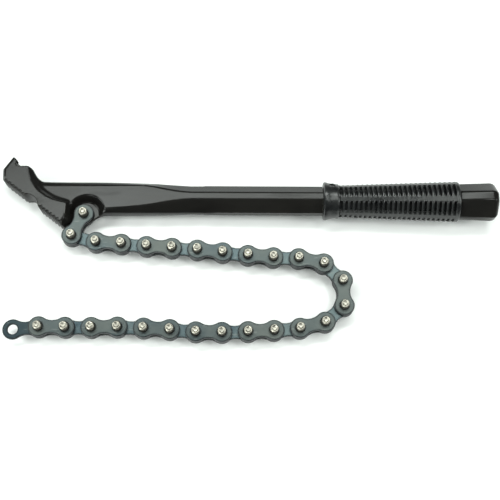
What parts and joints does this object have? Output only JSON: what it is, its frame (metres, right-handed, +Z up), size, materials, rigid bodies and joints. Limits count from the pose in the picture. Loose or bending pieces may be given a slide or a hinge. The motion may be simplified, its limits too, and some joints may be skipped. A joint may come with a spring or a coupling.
{
  "type": "chain oil filter wrench",
  "caption": "Chain wrench with a toothed jaw, a slotted hook, a ribbed grip and a free-swinging pinned leaf chain for gripping round filters.",
  "frame": {"origin": "centre of the bounding box at the surface that the wrench lies on", "axes": "+X along the handle towards the butt, +Y away from the chain, +Z up from the surface, along the chain pins"},
  "size_m": [0.3136, 0.119, 0.0269],
  "materials": {
    "handle_paint": "gloss black paint on a forging",
    "grip_rubber": "satin moulded rubber",
    "pinned_plate_steel": "blued plate with bright riveted pins",
    "cover_plate_steel": "blue-grey heat-treated steel",
    "inner_plate_steel": "lighter blue heat-treated steel"
  },
  "bodies": {
    "handle": {"handle_forging": "handle_paint", "grip_sleeve": "grip_rubber"},
    "outer_01": {"outer_link_01_pin_plate": "pinned_plate_steel", "outer_link_01_cover_plate": "cover_plate_steel"},
    "inner_01": {"inner_link_01": "inner_plate_steel"},
    "outer_02": {"outer_link_02_pin_plate": "pinned_plate_steel", "outer_link_02_cover_plate": "cover_plate_steel"},
    "inner_02": {"inner_link_02": "inner_plate_steel"},
    "outer_03": {"outer_link_03_pin_plate": "pinned_plate_steel", "outer_link_03_cover_plate": "cover_plate_steel"},
    "inner_03": {"inner_link_03": "inner_plate_steel"},
    "outer_04": {"outer_link_04_pin_plate": "pinned_plate_steel", "outer_link_04_cover_plate": "cover_plate_steel"},
    "inner_04": {"inner_link_04": "inner_plate_steel"},
    "outer_05": {"outer_link_05_pin_plate": "pinned_plate_steel", "outer_link_05_cover_plate": "cover_plate_steel"},
    "inner_05": {"inner_link_05": "inner_plate_steel"},
    "outer_06": {"outer_link_06_pin_plate": "pinned_plate_steel", "outer_link_06_cover_plate": "cover_plate_steel"},
    "inner_06": {"inner_link_06": "inner_plate_steel"},
    "outer_07": {"outer_link_07_pin_plate": "pinned_plate_steel", "outer_link_07_cover_plate": "cover_plate_steel"},
    "inner_07": {"inner_link_07": "inner_plate_steel"},
    "outer_08": {"outer_link_08_pin_plate": "pinned_plate_steel", "outer_link_08_cover_plate": "cover_plate_steel"},
    "inner_08": {"inner_link_08": "inner_plate_steel"},
    "outer_09": {"outer_link_09_pin_plate": "pinned_plate_steel", "outer_link_09_cover_plate": "cover_plate_steel"},
    "inner_09": {"inner_link_09": "inner_plate_steel"},
    "outer_10": {"outer_link_10_pin_plate": "pinned_plate_steel", "outer_link_10_cover_plate": "cover_plate_steel"},
    "inner_10": {"inner_link_10": "inner_plate_steel"},
    "outer_11": {"outer_link_11_pin_plate": "pinned_plate_steel", "outer_link_11_cover_plate": "cover_plate_steel"},
    "inner_11": {"inner_link_11": "inner_plate_steel"},
    "outer_12": {"outer_link_12_pin_plate": "pinned_plate_steel", "outer_link_12_cover_plate": "cover_plate_steel"},
    "inner_12": {"inner_link_12": "inner_plate_steel"},
    "outer_13": {"outer_link_13_pin_plate": "pinned_plate_steel", "outer_link_13_cover_plate": "cover_plate_steel"},
    "end": {"end_link": "inner_plate_steel"}
  },
  "joints": [
    {"name": "pin_01", "type": "hinge", "parent": "handle", "child": "outer_01", "pos_m": [-0.10401, 0.02229, 0.00862], "axis": [0, 0, 1], "range_deg": [-5, 6]},
    {"name": "pin_02", "type": "hinge", "parent": "outer_01", "child": "inner_01", "pos_m": [-0.11097, 0.00802, 0.00862], "axis": [0, 0, -1], "range_deg": [-5, 94]},
    {"name": "pin_03", "type": "hinge", "parent": "inner_01", "child": "outer_02", "pos_m": [-0.09563, 0.00391, 0.00862], "axis": [0, 0, 1], "range_deg": [-72, 6]},
    {"name": "pin_04", "type": "hinge", "parent": "outer_02", "child": "inner_02", "pos_m": [-0.0798, 0.0028, 0.00862], "axis": [0, 0, -1], "range_deg": [-7, 59]},
    {"name": "pin_05", "type": "hinge", "parent": "inner_02", "child": "outer_03", "pos_m": [-0.06398, 0.00142, 0.00862], "axis": [0, 0, 1], "range_deg": [-49, 9]},
    {"name": "pin_06", "type": "hinge", "parent": "outer_03", "child": "inner_03", "pos_m": [-0.04814, 0.00031, 0.00862], "axis": [0, 0, -1], "range_deg": [-11, 39]},
    {"name": "pin_07", "type": "hinge", "parent": "inner_03", "child": "outer_04", "pos_m": [-0.03231, -0.0008, 0.00862], "axis": [0, 0, 1], "range_deg": [-31, 13]},
    {"name": "pin_08", "type": "hinge", "parent": "outer_04", "child": "inner_04", "pos_m": [-0.01652, -0.00246, 0.00862], "axis": [0, 0, -1], "range_deg": [-18, 25]},
    {"name": "pin_09", "type": "hinge", "parent": "inner_04", "child": "outer_05", "pos_m": [-0.00073, -0.00411, 0.00862], "axis": [0, 0, 1], "range_deg": [-20, 24]},
    {"name": "pin_10", "type": "hinge", "parent": "outer_05", "child": "inner_05", "pos_m": [0.01508, -0.0055, 0.00862], "axis": [0, 0, -1], "range_deg": [-38, 18]},
    {"name": "pin_11", "type": "hinge", "parent": "inner_05", "child": "outer_06", "pos_m": [0.03095, -0.00605, 0.00862], "axis": [0, 0, 1], "range_deg": [-16, 60]},
    {"name": "pin_12", "type": "hinge", "parent": "outer_06", "child": "inner_06", "pos_m": [0.04648, -0.00935, 0.00862], "axis": [0, 0, -1], "range_deg": [-106, 14]},
    {"name": "pin_13", "type": "hinge", "parent": "inner_06", "child": "outer_07", "pos_m": [0.0579, -0.02038, 0.00862], "axis": [0, 0, 1], "range_deg": [-13, 113]},
    {"name": "pin_14", "type": "hinge", "parent": "outer_07", "child": "inner_07", "pos_m": [0.05845, -0.03625, 0.00862], "axis": [0, 0, -1], "range_deg": [-113, 13]},
    {"name": "pin_15", "type": "hinge", "parent": "inner_07", "child": "outer_08", "pos_m": [0.04647, -0.04666, 0.00862], "axis": [0, 0, 1], "range_deg": [-14, 113]},
    {"name": "pin_16", "type": "hinge", "parent": "outer_08", "child": "inner_08", "pos_m": [0.03106, -0.0505, 0.00862], "axis": [0, 0, -1], "range_deg": [-107, 15]},
    {"name": "pin_17", "type": "hinge", "parent": "inner_08", "child": "outer_09", "pos_m": [0.01525, -0.05188, 0.00862], "axis": [0, 0, 1], "range_deg": [-17, 60]},
    {"name": "pin_18", "type": "hinge", "parent": "outer_09", "child": "inner_09", "pos_m": [-0.0006, -0.05272, 0.00862], "axis": [0, 0, -1], "range_deg": [-60, 18]},
    {"name": "pin_19", "type": "hinge", "parent": "inner_09", "child": "outer_10", "pos_m": [-0.01647, -0.05327, 0.00862], "axis": [0, 0, 1], "range_deg": [-21, 75]},
    {"name": "pin_20", "type": "hinge", "parent": "outer_10", "child": "inner_10", "pos_m": [-0.03234, -0.05299, 0.00862], "axis": [0, 0, -1], "range_deg": [-91, 25]},
    {"name": "pin_21", "type": "hinge", "parent": "inner_10", "child": "outer_11", "pos_m": [-0.04816, -0.05161, 0.00862], "axis": [0, 0, 1], "range_deg": [-31, 113]},
    {"name": "pin_22", "type": "hinge", "parent": "outer_11", "child": "inner_11", "pos_m": [-0.06401, -0.05078, 0.00862], "axis": [0, 0, -1], "range_deg": [-113, 37]},
    {"name": "pin_23", "type": "hinge", "parent": "inner_11", "child": "outer_12", "pos_m": [-0.07987, -0.05022, 0.00862], "axis": [0, 0, 1], "range_deg": [-47, 113]},
    {"name": "pin_24", "type": "hinge", "parent": "outer_12", "child": "inner_12", "pos_m": [-0.09575, -0.0505, 0.00862], "axis": [0, 0, -1], "range_deg": [-113, 67]},
    {"name": "pin_25", "type": "hinge", "parent": "inner_12", "child": "outer_13", "pos_m": [-0.11162, -0.0505, 0.00862], "axis": [0, 0, 1], "range_deg": [-113, 113]},
    {"name": "pin_26", "type": "hinge", "parent": "outer_13", "child": "end", "pos_m": [-0.12749, -0.05022, 0.00862], "axis": [0, 0, -1], "range_deg": [-112, 113]}
  ]
}
